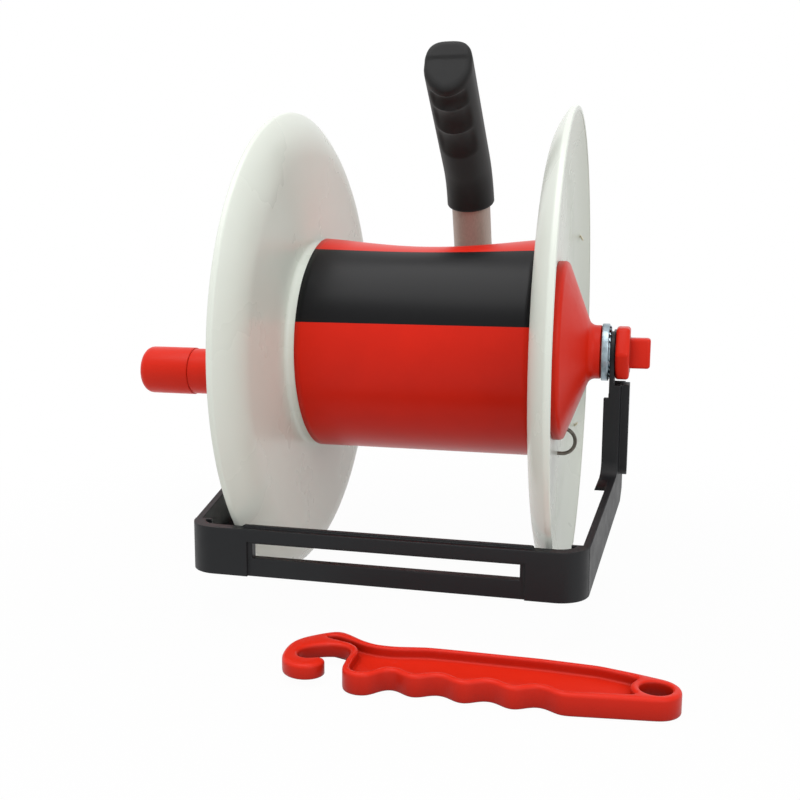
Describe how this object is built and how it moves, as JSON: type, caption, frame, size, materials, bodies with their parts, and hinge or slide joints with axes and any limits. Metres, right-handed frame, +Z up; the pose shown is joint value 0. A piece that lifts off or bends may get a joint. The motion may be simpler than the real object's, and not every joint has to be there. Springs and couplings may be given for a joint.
{
  "type": "electric fence reel",
  "caption": "Geared fence wire reel: flanged drum on an axle in a moulded frame with a wire guide bar, crank, friction brake knob, carrying grip and a loose hook handle.",
  "frame": {"origin": "on the axle, midway between the drum's flanges", "axes": "+X along the axle towards the brake knob, -Y towards the wire guide bar, +Z up"},
  "size_m": [0.3307, 0.3314, 0.2811],
  "materials": {
    "flange_plastic": "satin, slightly translucent",
    "red_plastic": "semi-gloss",
    "label_print": "printed gloss sleeve",
    "black_plastic": "satin",
    "grip_rubber": "matte",
    "tube_metal": "satin drawn tube",
    "zinc_steel": "bright zinc",
    "bush_plastic": "satin",
    "gear_plastic": "satin acetal",
    "brass": "turned"
  },
  "bodies": {
    "frame": {"frame": "black_plastic", "rear_yoke": "black_plastic", "yoke_screws": "zinc_steel", "handle_tube": "tube_metal", "grip": "grip_rubber", "handle_bolt": "zinc_steel", "axle": "zinc_steel", "brake_washer": "zinc_steel", "spring_washer": "zinc_steel", "ring_gear": "gear_plastic", "gear_case": "red_plastic", "case_screws": "zinc_steel", "crank_bush": "bush_plastic"},
    "drum": {"drum_left": "flange_plastic", "drum_right": "flange_plastic", "label_sleeve": "label_print", "tie_screws": "zinc_steel", "hub_cone": "red_plastic", "drum_bush": "bush_plastic", "tie_off_loop": "zinc_steel", "sun_gear": "gear_plastic", "sun_bush": "bush_plastic"},
    "crank": {"carrier": "black_plastic", "planet_pins": "zinc_steel", "crank_arm": "red_plastic", "crank_screw": "zinc_steel", "knob_spindle": "zinc_steel"},
    "planet_1": {"planet_1": "gear_plastic"},
    "planet_2": {"planet_2": "gear_plastic"},
    "planet_3": {"planet_3": "gear_plastic"},
    "crank_knob": {"crank_knob": "red_plastic", "crank_cap": "red_plastic"},
    "brake_knob": {"brake_knob": "red_plastic", "knob_insert": "brass"},
    "hook_handle": {"hook_handle": "red_plastic"}
  },
  "joints": [
    {"name": "drum_spin", "type": "hinge", "parent": "frame", "child": "drum", "pos_m": [0, 0, 0], "axis": [1, 0, 0], "continuous": true},
    {"name": "crank_spin", "type": "hinge", "parent": "frame", "child": "crank", "pos_m": [0, 0, 0], "axis": [1, 0, 0], "continuous": true},
    {"name": "planet_1_spin", "type": "hinge", "parent": "crank", "child": "planet_1", "pos_m": [0, 0.0225, 0], "axis": [1, 0, 0], "continuous": true},
    {"name": "planet_2_spin", "type": "hinge", "parent": "crank", "child": "planet_2", "pos_m": [0, -0.01125, 0.01949], "axis": [1, 0, 0], "continuous": true},
    {"name": "planet_3_spin", "type": "hinge", "parent": "crank", "child": "planet_3", "pos_m": [0, -0.01125, -0.01949], "axis": [1, 0, 0], "continuous": true},
    {"name": "crank_knob_spin", "type": "hinge", "parent": "crank", "child": "crank_knob", "pos_m": [-0.15, 0.07518, -0.02736], "axis": [1, 0, 0], "continuous": true},
    {"name": "brake_knob_turn", "type": "hinge", "parent": "frame", "child": "brake_knob", "pos_m": [0.1, 0, 0], "axis": [1, 0, 0], "range_deg": [0, 360]},
    {"name": "hook_handle_lift", "type": "slide", "parent": "frame", "child": "hook_handle", "axis": [0, 0, 1], "range_m": [0, 0.15]}
  ],
  "couplings": [
    {"joint": "crank_spin", "follows": "drum_spin", "ratio": 0.33333},
    {"joint": "planet_1_spin", "follows": "drum_spin", "ratio": -1.3333},
    {"joint": "planet_2_spin", "follows": "drum_spin", "ratio": -1.3333},
    {"joint": "planet_3_spin", "follows": "drum_spin", "ratio": -1.3333}
  ]
}
